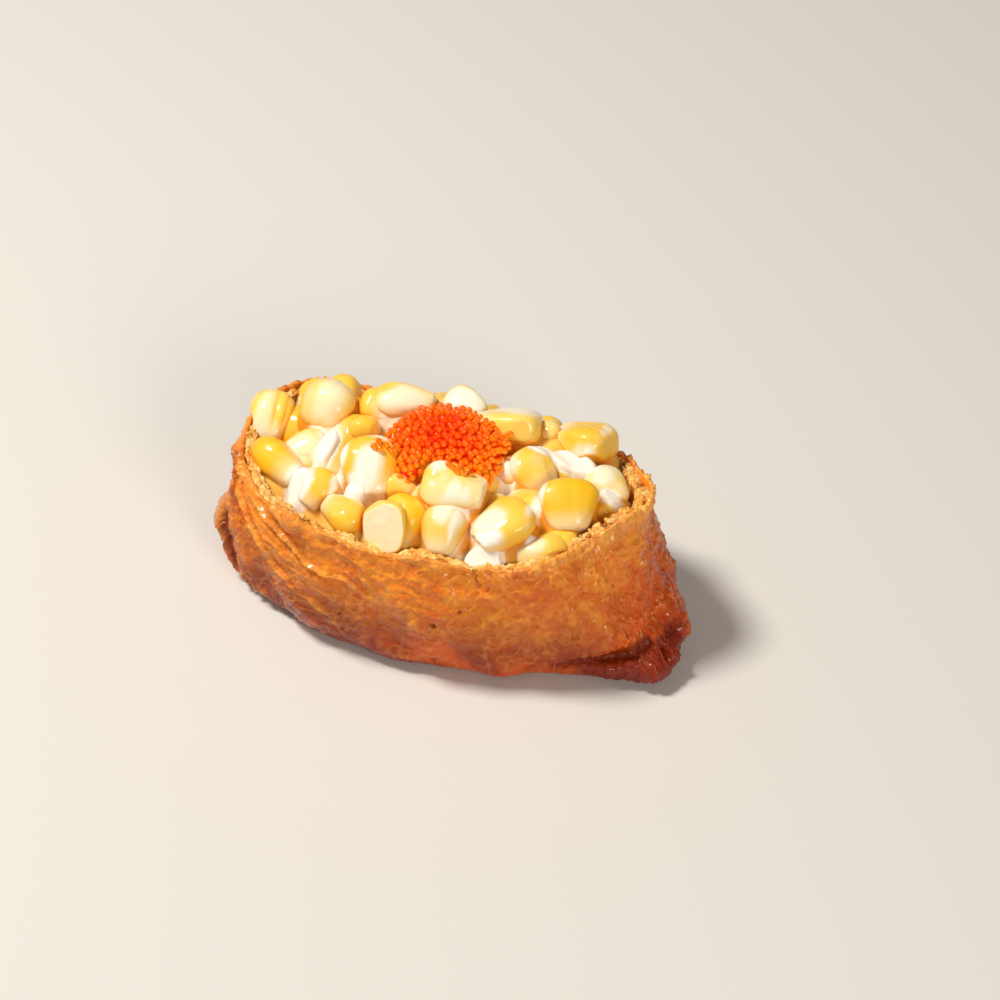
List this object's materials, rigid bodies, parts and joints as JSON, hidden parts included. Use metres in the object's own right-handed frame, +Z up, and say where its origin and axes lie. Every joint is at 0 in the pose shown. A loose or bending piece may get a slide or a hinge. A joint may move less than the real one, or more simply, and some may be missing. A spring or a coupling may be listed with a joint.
{
  "type": "inari sushi",
  "caption": "Open pocket of simmered fried tofu on a flat base, heaped with sweetcorn kernels in mayonnaise and topped with a low mound of orange fish roe.",
  "frame": {"origin": "middle of the bounding box in plan, on the flat base that the piece rests on", "axes": "+X along the pocket towards its higher end, +Y to its back, +Z up out of the mouth"},
  "size_m": [0.0724, 0.0391, 0.0294],
  "materials": {
    "fried_tofu": "moist wrinkled fried skin, golden brown, paler at the spongy cut rim and darker at the foot",
    "sweetcorn": "wet glossy yellow kernels, partly coated in cream-white mayonnaise",
    "roe": "wet translucent orange eggs"
  },
  "bodies": {
    "root": {"tofu_pocket": "fried_tofu", "corn_salad": "sweetcorn", "fish_roe": "roe"}
  },
  "joints": []
}
